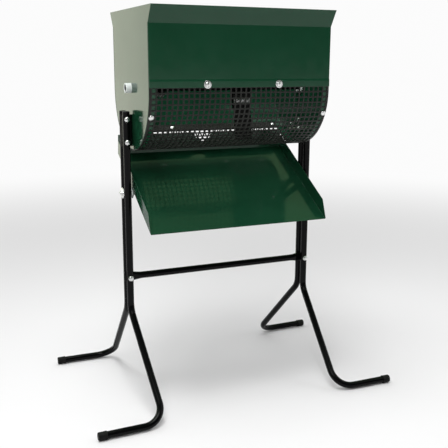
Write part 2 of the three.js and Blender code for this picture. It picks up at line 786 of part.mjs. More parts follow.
function trayGeometry() {
  const width = 2 * TRAY_HALF_WIDTH;
  const floorZ = PIVOT_BELOW_FLOOR + SHEET / 2;
  const floor = slab(width, TRAY_LENGTH, SHEET, 0, (TRAY_FRONT + TRAY_BACK) / 2, floorZ);
  const fold = new THREE.Vector2(TRAY_BACK, PIVOT_BELOW_FLOOR);
  const upBack = new THREE.Vector2(Math.cos(TRAY_BACK_ANGLE), Math.sin(TRAY_BACK_ANGLE));
  const top = fold.clone().addScaledVector(upBack, TRAY_BACK_WALL);
  const back = extrudeAlongX(sheetSection([fold, top], SHEET), -TRAY_HALF_WIDTH, width);
  const notch = rod("Y", 2 * TRAY_NOTCH_R, HOLE_TOOL, 0, 0, 0, 32)
    .rotateX(TRAY_BACK_ANGLE - Math.PI / 2)
    .translate(0, top.x, top.y);
  const holes = SIDES.map(({ s }) =>
    rod("X", BOLT_HOLE_D, HOLE_TOOL, s * TRAY_HALF_WIDTH, 0, 0, 10),
  );
  return cut(join(floor, back, trayWallGeometry(-1), trayWallGeometry(1)), notch, ...holes);
}

function ringGeometry(outerD, thickness) {
  const bore = BOLT_HOLE_D / 2;
  return lathe(
    [
      [bore, 0],
      [outerD / 2, 0],
      [outerD / 2, thickness],
      [bore, thickness],
      [bore, 0],
    ],
    20,
  );
}

// A spacer, a washer and a bolt with its nut on one side of the tray. The bolt's head is inside
// the tray's lug and its nut is outside the upright.
function addClamp(carrier, side) {
  const spacerX = TRAY_HALF_WIDTH + GAP;
  const spacerLength = LEG_X - TUBE_D / 2 - GAP - spacerX;
  const washerX = LEG_X + TUBE_D / 2 + GAP;
  const nutX = washerX + CLAMP_WASHER_T + GAP;
  const headX = TRAY_HALF_WIDTH - SHEET - GAP;
  const outwards = new THREE.Vector3(side.s, 0, 0);
  const put = (word, geometry, material, x) =>
    place(carrier, `${word}_${side.word}`, geometry, material, [side.s * x, 0, 0]);
  const spacer = put("tray_spacer", ringGeometry(SPACER_D, spacerLength), NYLON, spacerX);
  const washer = put("tray_washer", ringGeometry(CLAMP_WASHER_D, CLAMP_WASHER_T), ZINC, washerX);
  const bolt = put("tray_pivot_bolt", boltGeometry(nutX - headX), ZINC, headX);
  pointAlong(spacer, outwards);
  pointAlong(washer, outwards);
  pointAlong(bolt, outwards.negate());
}

function addTray() {
  const carrier = new THREE.Group();
  carrier.position.set(0, 0, PIVOT_Z);
  sieve.add(carrier);
  SIDES.forEach((side) => addClamp(carrier, side));
  const tray = place(carrier, "tray", trayGeometry(), GREEN);
  tray.rotation.x = TRAY_TILT;
}

addStand();
addHopper();
addAgitator();
addTray();

export default sieve;
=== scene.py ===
"""Looks of the soil sieve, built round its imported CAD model. Metres, +Z up, +X along the shaft."""

import json
import math

import bmesh
import bpy
from mathutils import Matrix, Vector


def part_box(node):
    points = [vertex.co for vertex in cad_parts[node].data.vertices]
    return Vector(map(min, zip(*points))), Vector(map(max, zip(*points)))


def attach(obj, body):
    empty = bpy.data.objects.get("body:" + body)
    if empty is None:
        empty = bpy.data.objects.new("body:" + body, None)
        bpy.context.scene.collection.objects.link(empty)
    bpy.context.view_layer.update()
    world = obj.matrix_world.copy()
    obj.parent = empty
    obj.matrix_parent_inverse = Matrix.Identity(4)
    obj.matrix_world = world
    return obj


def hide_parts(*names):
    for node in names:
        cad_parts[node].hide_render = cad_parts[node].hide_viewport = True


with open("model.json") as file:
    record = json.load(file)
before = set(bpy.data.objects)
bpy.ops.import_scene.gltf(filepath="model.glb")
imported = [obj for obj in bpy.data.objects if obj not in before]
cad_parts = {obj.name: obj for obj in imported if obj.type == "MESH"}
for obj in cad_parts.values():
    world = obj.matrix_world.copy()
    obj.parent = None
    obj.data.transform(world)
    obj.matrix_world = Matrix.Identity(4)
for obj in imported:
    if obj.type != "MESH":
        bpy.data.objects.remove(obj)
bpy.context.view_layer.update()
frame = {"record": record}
BODY_OF = {n: body for body, ns in frame["record"]["behaviour"]["bodies"].items() for n in ns}
SLOT_OF = {s["node"]: s["material_slot"] for s in frame["record"]["subparts"]}

# ---- Driving dimensions ------------------------------------------------------------------------
MM = 0.001
GAP = 0.3 * MM  # between pieces that touch
SHEET = 1.5 * MM
BEND_R = 3.5 * MM  # outer radius of the side plates' rolled edge
SIDES = {"left": -1, "right": 1}
FACES = {"front": -1, "back": 1}


def low(node):
    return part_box(node)[0]


def high(node):
    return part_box(node)[1]


def middle(node):
    return (low(node) + high(node)) / 2


AXIS_Z = middle("agitator_shaft").z
HALF_WIDTH = high("front_panel").x
TOP_Z = high("front_panel").z
SIEVE_R = -low("sieve_trough").y
DROP = 7 * MM  # straight stretch between the shaft's height and the drum's half circle
ARC_Z = AXIS_Z - DROP
PANEL_Y = SIEVE_R  # outer face of the panels
RIM_HEIGHT = 49 * MM
FOLD_Z = TOP_Z - RIM_HEIGHT
FLARE_OUT = 30 * MM
PANEL_EDGE = low("front_panel").z
LAP_TOP = high("sieve_trough").z
JOGGLE = 5 * MM
LAP_EDGE = math.radians(129.6)  # lower edge of the back panel, counted from the front horizontal
SIEVE_END = math.radians(136.8)  # rear edge of the sieve sheet
PLATE_R = SIEVE_R - SHEET - GAP
FLANGE_X = low("side_plate_right").x

BUSH_R = 15 * MM
BUSH_BORE_R = 11.5 * MM
BUSH_COLLAR = 4 * MM  # thickness
BRACKET_SHEET = 2 * MM
TUBE_R = (high("top_plug_left_front").y - low("top_plug_left_front").y) / 2
TUBE_WALL = 1.5 * MM
LEG_X = middle("top_plug_right_front").x
LEG_Y = middle("top_plug_right_back").y
LEG_TOP = high("leg_left_front").z
SPLIT_Z = 287 * MM
FOOT_CORNER = (303 * MM, 295 * MM)
FOOT_END = (511 * MM, 299 * MM)
SPLIT_BEND_R = 60 * MM
FOOT_BEND_R = 62 * MM
CAP_R = high("foot_cap_right_front").z / 2
CAP_LENGTH = 27 * MM
CAP_END = 3 * MM

HEAD_R = 8.5 * MM
HEAD_H = 5 * MM
BOLT_R = 3.9 * MM
NUT_FLATS = 13 * MM
NUT_H = 6.5 * MM
WASHER_R = 12 * MM
WASHER_T = 1.6 * MM
SIEVE_BOLT_ANGLE = math.radians(23.3)  # below the horizontal
THREAD_PITCH = 1.25 * MM
THREAD_OUT = 3 * MM  # how far a bolt shows past its nut

PADDLE_ANGLES = {"far_left": -8, "left": 82, "right": -98, "far_right": 172}  # from +Y, towards +Z
ARM_WIDTH = 66 * MM
ARM_REACH = 72 * MM
ARM_SHEET = 4 * MM
WELD_DEPTH = 0.6 * MM  # how far an arm's plate sinks into the shaft
BLADE_WIDTH = 60 * MM
BLADE_START = 28 * MM
BLADE_REACH = 177 * MM
BLADE_THICK = 6 * MM
CLAMP_R = 46 * MM
CLAMP_SPACING = 17 * MM
CLAMP_HEIGHT = 16 * MM
STUD_R = 2.9 * MM
STUD_FLATS = 8.66 * MM
STUD_HEAD_H = 4 * MM
CLAMP_STRIP = 2 * MM  # thickness

PIVOT_Z = middle("tray_pivot_bolt_left").z
TRAY_TILT = math.radians(31)
TRAY_HALF = high("tray").x
TRAY_LENGTH = 396 * MM
TRAY_WALL = 43 * MM
TRAY_BACK_WALL = 65.5 * MM  # up the back wall's slope
TRAY_BACK_ANGLE = math.radians(64.5)  # between the floor and the back wall
TRAY_NOTCH_R = 31 * MM
TRAY_CHAMFER = 50 * MM
PIVOT_FROM_LIP = 211 * MM
PIVOT_BELOW_FLOOR = 11 * MM
TRAY_BEND_R = 3 * MM
LUG_R = 17 * MM
LUG_SLOPE = 6 * MM  # how far the lug widens by where it meets the floor
PIVOT_HOLE_R = 4.3 * MM

HOLE = 12 * MM  # side of a square hole in the sieve sheet
FIRST_ROW = 2.5 * MM  # middle of the first row of holes, below the shaft's height
HOLE_CORNER = 1.1 * MM
HOLE_COLUMNS = 35
HOLE_ROWS = 26


# ---- Materials ---------------------------------------------------------------------------------
class Paint:
    """A Principled material and short calls that wire procedural nodes into it."""

    def __init__(self, name, **sockets):
        self.material = bpy.data.materials.new(name)
        self.material.use_nodes = True
        self.tree = self.material.node_tree
        self.shader = self.tree.nodes["Principled BSDF"]
        for socket, value in sockets.items():
            self.shader.inputs[socket.replace("_", " ")].default_value = value
        self.where = self.node("ShaderNodeTexCoord").outputs["Object"]

    def node(self, kind, **settings):
        made = self.tree.nodes.new(kind)
        for key, value in settings.items():
            setattr(made, key, value)
        return made

    def link(self, source, target):
        self.tree.links.new(source, target)

    def noise(self, scale, detail=2.0, roughness=0.5, stretch=(1, 1, 1)):
        mapping = self.node("ShaderNodeMapping")
        mapping.inputs["Scale"].default_value = stretch
        self.link(self.where, mapping.inputs["Vector"])
        made = self.node("ShaderNodeTexNoise")
        made.inputs["Scale"].default_value = scale
        made.inputs["Detail"].default_value = detail
        made.inputs["Roughness"].default_value = roughness
        self.link(mapping.outputs["Vector"], made.inputs["Vector"])
        return made.outputs["Fac"]

    def remap(self, value, low_in, high_in, low_out, high_out):
        made = self.node("ShaderNodeMapRange")
        self.link(value, made.inputs["Value"])
        for socket, number in zip(("From Min", "From Max", "To Min", "To Max"),
                                  (low_in, high_in, low_out, high_out)):
            made.inputs[socket].default_value = number
        return made.outputs["Result"]

    def mix(self, factor, a, b):
        """Colours a and b, each a socket or a colour, mixed by a factor socket."""
        made = self.node("ShaderNodeMix", data_type="RGBA")
        self.link(factor, made.inputs["Factor"])
        for socket, colour in ((made.inputs[6], a), (made.inputs[7], b)):
            if isinstance(colour, bpy.types.NodeSocket):
                self.link(colour, socket)
            else:
                socket.default_value = (*colour, 1)
        return made.outputs[2]

    def maths(self, operation, a, b):
        made = self.node("ShaderNodeMath", operation=operation)
        for socket, value in zip(made.inputs, (a, b)):
            if isinstance(value, bpy.types.NodeSocket):
                self.link(value, socket)
            else:
                socket.default_value = value
        return made.outputs["Value"]

    def edges(self, radius):
        """Near 1 along the sharp edges of the piece, broken up by noise, and 0 elsewhere; the materials
        lighten their colour there as a painted highlight.
        """
        rounded = self.node("ShaderNodeBevel", samples=4)
        rounded.inputs["Radius"].default_value = radius
        plain = self.node("ShaderNodeNewGeometry")
        dot = self.node("ShaderNodeVectorMath", operation="DOT_PRODUCT")
        self.link(rounded.outputs["Normal"], dot.inputs[0])
        self.link(plain.outputs["Normal"], dot.inputs[1])
        edge = self.remap(dot.outputs["Value"], 0.99, 0.86, 0.0, 1.0)
        return self.maths("MULTIPLY", edge, self.remap(self.noise(160, 4), 0.42, 0.62, 0.1, 1.0))

    def bump(self, *layers):
        """Stacks (height socket, depth in metres) layers into the shader's normal."""
        normal = None
        for height, depth in layers:
            made = self.node("ShaderNodeBump")
            made.inputs["Strength"].default_value = 1.0
            made.inputs["Distance"].default_value = depth
            self.link(height, made.inputs["Height"])
            if normal is not None:
                self.link(normal, made.inputs["Normal"])
            normal = made.outputs["Normal"]
        self.link(normal, self.shader.inputs["Normal"])

    def set(self, socket, value):
        self.link(value, self.shader.inputs[socket])


def powder_coat(name, dark, light, painted_edge_highlight, peel, specular):
    """Glossy powder coat: fine orange peel, a slow waviness of the sheet, and edges lightened as a painted
    highlight.
    """
    paint = Paint(name, Specular_IOR_Level=specular)
    tone = paint.mix(paint.noise(9, 3), dark, light)
    dust = paint.remap(paint.noise(45, 6, 0.7), 0.55, 0.8, 0.0, 0.25)
    dusty = paint.mix(dust, tone, light)
    # painted highlight: the colour is lightened along the sharp edges
    paint.set("Base Color", paint.mix(paint.edges(1.2 * MM), dusty, painted_edge_highlight))
    paint.set("Roughness", paint.remap(paint.noise(30, 5, 0.6), 0.3, 0.7, 0.07, 0.17))
    paint.bump((paint.noise(5, 1), 0.9 * MM), (paint.noise(420, 2), peel))
    return paint.material


def sieve_coat():
    paint = Paint("sieve_coat", Specular_IOR_Level=0.25)
    tone = paint.mix(paint.noise(25, 4), (0.008, 0.0085, 0.0075), (0.016, 0.0165, 0.014))
    # painted highlight: the colour is lightened along the sharp edges
    paint.set("Base Color", paint.mix(paint.edges(0.5 * MM), tone, (0.035, 0.034, 0.031)))
    paint.set("Roughness", paint.remap(paint.noise(60, 4), 0.3, 0.7, 0.35, 0.5))
    paint.bump((paint.noise(600, 2), 0.05 * MM))
    return paint.material


def zinc_plate():
    paint = Paint("zinc_plate", Metallic=1.0)
    tone = paint.mix(paint.noise(140, 4), (0.62, 0.62, 0.6), (0.86, 0.87, 0.88))
    # painted highlight: the colour is lightened along the sharp edges
    paint.set("Base Color", paint.mix(paint.edges(0.5 * MM), tone, (0.93, 0.93, 0.92)))
    paint.set("Roughness", paint.remap(paint.noise(260, 5), 0.3, 0.7, 0.2, 0.4))
    paint.bump((paint.noise(900, 3), 0.03 * MM))
    return paint.material


def moulded(name, dark, light, roughness, grain, specular=0.4):
    """Plastic or rubber: two close tones, a fine matt grain, and edges lightened as a painted highlight."""
    paint = Paint(name, Specular_IOR_Level=specular)
    tone = paint.mix(paint.noise(70, 4), dark, light)
    # painted highlight: the colour is lightened along the sharp edges
    paint.set("Base Color", paint.mix(paint.edges(0.6 * MM), tone, light))
    low_value, high_value = roughness
    paint.set("Roughness", paint.remap(paint.noise(120, 4), 0.3, 0.7, low_value, high_value))
    paint.bump((paint.noise(1400, 3), grain))
    return paint.material


MATERIALS = {
    # The third colour of each powder coat is the painted highlight along its edges.
    "green_paint": powder_coat("green_powder_coat", (0.006, 0.044, 0.020), (0.009, 0.056, 0.027),
                               (0.03, 0.12, 0.06), 0.012 * MM, 0.32),
    "black_tube": powder_coat("black_powder_coat", (0.0015, 0.0015, 0.0018), (0.003, 0.003, 0.0033),
                              (0.02, 0.02, 0.02), 0.012 * MM, 0.1),
    "sieve_sheet": sieve_coat(),
    "zinc": zinc_plate(),
    "rubber": moulded("rubber_matt", (0.003, 0.003, 0.003), (0.009, 0.0088, 0.0085), (0.5, 0.75),
                      0.06 * MM, 0.15),
    "black_plastic": moulded("plastic_black", (0.008, 0.008, 0.009), (0.02, 0.02, 0.021), (0.3, 0.5),
                             0.03 * MM),
    "white_nylon": moulded("nylon_white", (0.72, 0.76, 0.74), (0.84, 0.88, 0.86), (0.35, 0.5), 0.02 * MM),
}


# ---- Mesh tools --------------------------------------------------------------------------------
def arc_between(start, end, centre, steps):
    """Points from start to end round centre, both ends included."""
    a, b = start - centre, end - centre
    turn = a.angle(b)
    return [centre + (math.sin((1 - k / steps) * turn) * a + math.sin(k / steps * turn) * b)
            / math.sin(turn) for k in range(steps + 1)]


def rounded_path(points, radius, steps=5, closed=False):
    """The same 2-D path with its corners rounded. radius is one number or one for each point."""
    points = [Vector(p) for p in points]
    out = []
    for i, point in enumerate(points):
        r = radius[i] if isinstance(radius, (list, tuple)) else radius
        at_end = not closed and i in (0, len(points) - 1)
        if at_end or r == 0:
            out.append(point)
            continue
        back = (points[i - 1] - point).normalized()
        on = (points[(i + 1) % len(points)] - point).normalized()
        half = (math.pi - back.angle(on)) / 2
        if half < 1e-3:
            out.append(point)
            continue
        cut = r * math.tan(half)
        centre = point + (back + on).normalized() * r / math.cos(half)
        out += arc_between(point + back * cut, point + on * cut, centre, steps)
    return out


def offset_path(path, distance):
    """The path moved to its left by mitred offsets."""
    moved = []
    for i, point in enumerate(path):
        before = (point - path[i - 1]).normalized() if i else (path[1] - point).normalized()
        after = (path[i + 1] - point).normalized() if i < len(path) - 1 else before
        along = (before + after).normalized()
        moved.append(point + Vector((-along.y, along.x)) * distance / along.dot(before))
    return moved


def skin(bm, rings, closed=True):
    """Faces between neighbouring rings of vertices. A ring of one vertex closes to a point."""
    faces = []
    for a, b in zip(rings, rings[1:]):
        n = max(len(a), len(b))
        for i in range(n if closed else n - 1):
            j = (i + 1) % n
            corners = [a[i % len(a)], a[j % len(a)], b[j % len(b)], b[i % len(b)]]
            distinct = list(dict.fromkeys(corners))
            if len(distinct) > 2:
                faces.append(bm.faces.new(distinct))
    return faces


def ring(bm, points, matrix):
    return [bm.verts.new(matrix @ Vector(p)) for p in points]


def circle(radius, height, sides):
    if radius < 1e-7:
        return [(0, 0, height)]
    return [(radius * math.cos(2 * math.pi * i / sides), radius * math.sin(2 * math.pi * i / sides), height)
            for i in range(sides)]


def lathe(bm, profile, matrix, sides=40):
    """Turns (radius, height) points about the local +Z."""
    rings = [ring(bm, circle(r, h, sides), matrix) for r, h in profile]
    if profile[0] == profile[-1]:
        rings[-1] = rings[0]
    skin(bm, rings)


def nut(bm, flats, height, bore, matrix, base=0.0, chamfer=0.94, sides=48):
    """A hexagon nut or head from z = base up, with both its faces chamfered."""
    face_r = flats / 2 * chamfer
    slope = math.tan(math.radians(30))
    corner = []
    for i in range(sides):
        angle = 2 * math.pi * i / sides
        within = (angle + math.pi / 6) % (math.pi / 3) - math.pi / 6
        corner.append((angle, flats / 2 / math.cos(within)))

    def hexagon(edge_height):
        return [(r * math.cos(a), r * math.sin(a), edge_height(slope * (r - face_r))) for a, r in corner]

    rings = [
        circle(bore, base, sides),
        circle(face_r, base, sides),
        hexagon(lambda drop: base + drop),
        hexagon(lambda drop: base + height - drop),
        circle(face_r, base + height, sides),
        circle(bore, base + height, sides),
    ]
    skin(bm, [ring(bm, points, matrix) for points in rings])


def thread(bm, radius, start, end, matrix):
    """A threaded end from z = start down to z = end, with a chamfered tip."""
    turns = max(2, round(abs(end - start) / THREAD_PITCH * 2))
    profile = [(0, end), (radius * 0.72, end)]
    for k in range(1, turns + 1):
        depth = 0.0 if k % 2 else 0.14
        profile.append((radius * (1 - depth), end + (start - end) * k / turns))
    lathe(bm, profile, matrix, 24)


def towards(direction):
    """A turn that takes +Z to the direction."""
    return Vector(direction).to_track_quat("Z", "Y").to_matrix().to_4x4()


def sheet_finish(piece, width):
    """Rounds the cut edges of a sheet piece and keeps its flat faces flat to the eye."""
    bevel = piece.modifiers.new("edge", "BEVEL")
    bevel.width = width
    bevel.segments = 2
    bevel.limit_method = "ANGLE"
    bevel.angle_limit = math.radians(50)
    weighted = piece.modifiers.new("flat", "WEIGHTED_NORMAL")
    weighted.keep_sharp = True


def piece_from(bm, node, sharp=38, tidy_normals=True):
    """The finished piece that stands for a CAD node: on its body, with its slot and material."""
    if tidy_normals:
        bmesh.ops.recalc_face_normals(bm, faces=bm.faces)
    mesh = bpy.data.meshes.new(f"fine_{node}")
    bm.to_mesh(mesh)
    bm.free()
    mesh.polygons.foreach_set("use_smooth", [True] * len(mesh.polygons))
    mesh.set_sharp_from_angle(angle=math.radians(sharp))
    mesh.materials.append(MATERIALS[SLOT_OF[node]])
    piece = bpy.data.objects.new(f"fine_{node}", mesh)
    bpy.context.scene.collection.objects.link(piece)
    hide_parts(node)
    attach(piece, BODY_OF[node])
    return piece


# ---- Stand -------------------------------------------------------------------------------------
def bent_line(corners, radii, steps=18):
    """Stations (point, tangent) of a tube's centre line, with an arc at each inner corner."""
    corners = [Vector(c) for c in corners]
    stations = [(corners[0], (corners[1] - corners[0]).normalized())]
    for before, corner, after, radius in zip(corners, corners[1:], corners[2:], radii):
        along = (corner - before).normalized()
        on = (after - corner).normalized()
        angle = along.angle(on)
        start = corner - along * radius * math.tan(angle / 2)
        normal = (on - along * math.cos(angle)).normalized()
        for k in range(steps + 1):
            turn = angle * k / steps
            point = start + along * radius * math.sin(turn) + normal * radius * (1 - math.cos(turn))
            stations.append((point, along * math.cos(turn) + normal * math.sin(turn)))
    stations.append((corners[-1], (corners[-1] - corners[-2]).normalized()))
    return stations


def tube(bm, stations, radius, wall, sides=36):
    """A hollow tube along the stations, both its ends open."""
    side = stations[0][1].orthogonal().normalized()
    outer, inner = [], []
    for point, tangent in stations:
        side = (side - tangent * side.dot(tangent)).normalized()
        up = tangent.cross(side)
        for rings, r in ((outer, radius), (inner, radius - wall)):
            rings.append([bm.verts.new(point + side * r * math.cos(2 * math.pi * i / sides)
                                       + up * r * math.sin(2 * math.pi * i / sides))
                          for i in range(sides)])
    skin(bm, outer + inner[::-1] + [outer[0]])


def make_leg(side, face):
    sx, sy = SIDES[side], FACES[face]
    foot_z = CAP_R
    corners = [
        (sx * LEG_X, sy * LEG_Y, LEG_TOP),
        (sx * LEG_X, sy * LEG_Y, SPLIT_Z),
        (sx * FOOT_CORNER[0], sy * FOOT_CORNER[1], foot_z),
        (sx * (FOOT_END[0] - CAP_END - GAP), sy * FOOT_END[1], foot_z),
    ]
    bm = bmesh.new()
    tube(bm, bent_line(corners, (SPLIT_BEND_R, FOOT_BEND_R)), TUBE_R, TUBE_WALL)
    piece_from(bm, f"leg_{side}_{face}")


def make_cap(side, face):
    sx, sy = SIDES[side], FACES[face]
    bore = TUBE_R + 0.1 * MM
    outline = [(0, 0), (CAP_R - 0.6 * MM, 0), (CAP_R - 0.3 * MM, CAP_LENGTH - 5 * MM),
               (CAP_R, CAP_LENGTH - 4.2 * MM), (CAP_R, CAP_LENGTH), (bore, CAP_LENGTH), (bore, CAP_END),
               (0, CAP_END)]
    radii = [0, 3 * MM, 0.3 * MM, 0.3 * MM, 0.9 * MM, 0.6 * MM, 0, 0]
    profile = [tuple(p) for p in rounded_path(outline, radii, 6)]
    inward = (sx * (FOOT_CORNER[0] - FOOT_END[0]), sy * (FOOT_CORNER[1] - FOOT_END[1]), 0)
    matrix = Matrix.Translation((sx * FOOT_END[0], sy * FOOT_END[1], CAP_R)) @ towards(inward)
    bm = bmesh.new()
    lathe(bm, profile, matrix, 48)
    piece_from(bm, f"foot_cap_{side}_{face}")


def make_plug(side, face):
    node = f"top_plug_{side}_{face}"
    stem = TUBE_R - TUBE_WALL - 2 * GAP
    head = high(node).z - LEG_TOP
    stem_length = LEG_TOP - low(node).z
    outline = [(0, -stem_length), (stem - 1 * MM, -stem_length), (stem, -stem_length + 2 * MM),
               (stem, GAP), (TUBE_R, GAP), (TUBE_R, head * 0.55), (TUBE_R - 3 * MM, head), (0, head)]
    radii = [0, 0, 0, 0, 0.3 * MM, 0.9 * MM, 3 * MM, 0]
    matrix = Matrix.Translation((SIDES[side] * LEG_X, FACES[face] * LEG_Y, LEG_TOP))
    bm = bmesh.new()
    lathe(bm, [tuple(p) for p in rounded_path(outline, radii, 5)], matrix, 40)
    piece_from(bm, node)


def squashed_section(half_height, half_thickness, sides=40):
    """(y, z) points of a tube section pressed to an oblong."""
    straight = half_height - half_thickness
    points = []
    for i in range(sides):
        angle = 2 * math.pi * (i + 0.5) / sides
        points.append((half_thickness * math.cos(angle),
                       half_thickness * math.sin(angle) + math.copysign(straight, math.sin(angle))))
    return points


def make_crossbar():
    node = "crossbar"
    end = high(node).x
    z = middle(node).z
    flat_height = (high(node).z - low(node).z) / 2
    flat_thickness = LEG_Y - TUBE_R - GAP
    blend = 34 * MM  # length over which the round tube is pressed flat
    round_end = LEG_X - TUBE_R - blend
    steps = 10
    spans = [(end, 1.0), (round_end + blend, 1.0)]
    spans += [(round_end + blend * (1 - k / steps), 1 - k / steps) for k in range(1, steps + 1)]

    def rings(wall, stations):
        made = []
        for x, share in stations:
            ease = share * share * (3 - 2 * share)
            height = TUBE_R + (flat_height - TUBE_R) * ease - wall
            thickness = TUBE_R + (flat_thickness - TUBE_R) * ease - wall
            made.append([bm.verts.new((x, y, z + up)) for y, up in squashed_section(height, thickness)])
        return made

    bm = bmesh.new()
    stations = spans + [(-x, share) for x, share in reversed(spans)]
    outer = rings(0, stations)
    inner = rings(TUBE_WALL, stations)
    skin(bm, outer + inner[::-1] + [outer[0]])
    piece_from(bm, node)


def dome_profile(radius, height, base, steps=8):
    """A low mushroom head above z = base, from its rim to its top."""
    lip = height * 0.16
    profile = [(radius * 0.965, base), (radius, base + lip * 0.45), (radius * 0.985, base + lip)]
    for k in range(1, steps + 1):
        angle = math.pi / 2 * k / steps
        profile.append((radius * 0.985 * math.cos(angle) if k < steps else 0.0,
                        base + lip + (height - lip) * math.sin(angle)))
    return profile


def bolt(node, seat, direction, grip, washer_r=0.0, washer_t=0.0, flats=NUT_FLATS):
    """A domed bolt and its nut. The head's underside is at the seat and looks along direction."""
    matrix = Matrix.Translation(Vector(seat)) @ towards(direction)
    bm = bmesh.new()
    lathe(bm, [(BOLT_R, 0)] + dome_profile(HEAD_R, HEAD_H, washer_t), matrix, 48)
    if washer_r:
        edge = 0.35 * MM
        outline = [(BOLT_R, 0), (washer_r, 0), (washer_r, washer_t), (BOLT_R, washer_t)]
        profile = [tuple(p) for p in rounded_path(outline, edge, 3)]
        lathe(bm, profile, matrix, 48)
    lathe(bm, [(BOLT_R, 0.5 * MM), (BOLT_R, -grip)], matrix, 24)
    turned = matrix @ Matrix.Rotation(math.radians(11), 4, "Z")
    nut(bm, flats, NUT_H, BOLT_R, turned, base=-grip - NUT_H)
    thread(bm, BOLT_R, -grip - NUT_H, -grip - NUT_H - THREAD_OUT, matrix)
    piece_from(bm, node)


def make_front_bolts():
    """Bolts that run along Y through both tubes of an upright."""
    grip = 2 * (LEG_Y + TUBE_R + GAP)
    for side, s in SIDES.items():
        for node in (f"crossbar_bolt_{side}", f"upright_bolt_{side}_low", f"upright_bolt_{side}_high"):
            bolt(node, (s * LEG_X, -LEG_Y - TUBE_R - GAP, middle(node).z), (0, -1, 0), grip)


# ---- Hopper ------------------------------------------------------------------------------------
def trough_path(radius, top, steps):
    """(y, z) points from the front, down round the half circle, and up the back."""
    path = [Vector((-radius, top))]
    for i in range(steps + 1):
        angle = math.pi + math.pi * i / steps
        path.append(Vector((radius * math.cos(angle), ARC_Z + radius * math.sin(angle))))
    path.append(Vector((radius, top)))
    return path


def make_side_plate(side):
    s = SIDES[side]
    steps = 6
    bm = bmesh.new()
    rings = []
    for k in range(steps + 1):
        angle = math.pi / 2 * k / steps
        radius = PLATE_R - BEND_R * (1 - math.sin(angle))
        x = HALF_WIDTH - BEND_R * (1 - math.cos(angle))
        rings.append([bm.verts.new((s * x, y, z)) for y, z in trough_path(radius, FOLD_Z, 64)])
    rings.append([bm.verts.new((s * FLANGE_X, y, z)) for y, z in trough_path(PLATE_R, FOLD_Z, 64)])
    skin(bm, rings, closed=False)
    rim = PLATE_R + FLARE_OUT
    flare = [bm.verts.new((s * HALF_WIDTH, y, z)) for y, z in
             ((PLATE_R, FOLD_Z + 1 * MM), (rim, TOP_Z), (-rim, TOP_Z), (-PLATE_R, FOLD_Z + 1 * MM))]
    outline = rings[0] + flare
    hole = ring(bm, circle(BUSH_R + GAP, 0, 48),
                Matrix.Translation((s * HALF_WIDTH, 0, AXIS_Z)) @ towards((s, 0, 0)))
    edges = []
    for loop in (outline, hole):
        for a, b in zip(loop, loop[1:] + loop[:1]):
            edges.append(bm.edges.get((a, b)) or bm.edges.new((a, b)))
    bmesh.ops.triangle_fill(bm, use_beauty=True, edges=edges)
    bm.normal_update()
    for face in bm.faces:
        centre = face.calc_center_median()
        outward = Vector((s * 0.02, centre.y, min(centre.z - ARC_Z, 0.0)))
        if abs(face.normal.x) > 0.999:
            outward = Vector((s, 0, 0))
        if face.normal.dot(outward) < 0:
            face.normal_flip()
    piece = piece_from(bm, f"side_plate_{side}", tidy_normals=False)
    thick = piece.modifiers.new("thickness", "SOLIDIFY")
    thick.thickness = SHEET
    thick.offset = -1
    thick.use_even_offset = True
    sheet_finish(piece, 0.3 * MM)


def arc_path(radius, start, end, step=math.radians(2)):
    """(y, z) points round the drum's half circle, between angles from the front horizontal."""
    count = max(2, round((end - start) / step))
    angles = [math.pi + start + (end - start) * i / count for i in range(count + 1)]
    return [Vector((radius * math.cos(a), ARC_Z + radius * math.sin(a))) for a in angles]


def panel_from(node, path):
    """A sheet across the whole hopper, from the (y, z) path of its inner face."""
    bm = bmesh.new()
    outer = offset_path(path, -SHEET)
    section = path + outer[::-1]
    rings = [[bm.verts.new((x, y, z)) for y, z in section] for x in (-HALF_WIDTH, HALF_WIDTH)]
    skin(bm, rings)
    n = len(path)
    for made in rings:
        for i in range(n - 1):
            bm.faces.new((made[i], made[i + 1], made[2 * n - 2 - i], made[2 * n - 1 - i]))
    sheet_finish(piece_from(bm, node), 0.35 * MM)


def make_front_panel():
    """A lap strip, a joggle, the flat and the flared rim."""
    inner = PANEL_Y - SHEET
    lap = SIEVE_R + GAP
    corners = [(lap, PANEL_EDGE), (lap, LAP_TOP), (inner, LAP_TOP + JOGGLE), (inner, FOLD_Z),
               (inner + FLARE_OUT, TOP_Z)]
    path = rounded_path(corners, [0, 4 * MM, 4 * MM, 5 * MM, 0], 6)
    panel_from("front_panel", [Vector((-y, z)) for y, z in path][::-1])


def make_back_panel():
    """Like the front one, but carried on down round the side plates to its lap strip."""
    inner = PANEL_Y - SHEET
    joggle_end = SIEVE_END + JOGGLE / inner
    top = rounded_path([(inner, ARC_Z), (inner, FOLD_Z), (inner + FLARE_OUT, TOP_Z)], [0, 5 * MM, 0], 6)
    path = arc_path(SIEVE_R + GAP, LAP_EDGE, SIEVE_END)
    path += arc_path(inner, joggle_end, math.pi) + top[1:]
    panel_from("back_panel", path)


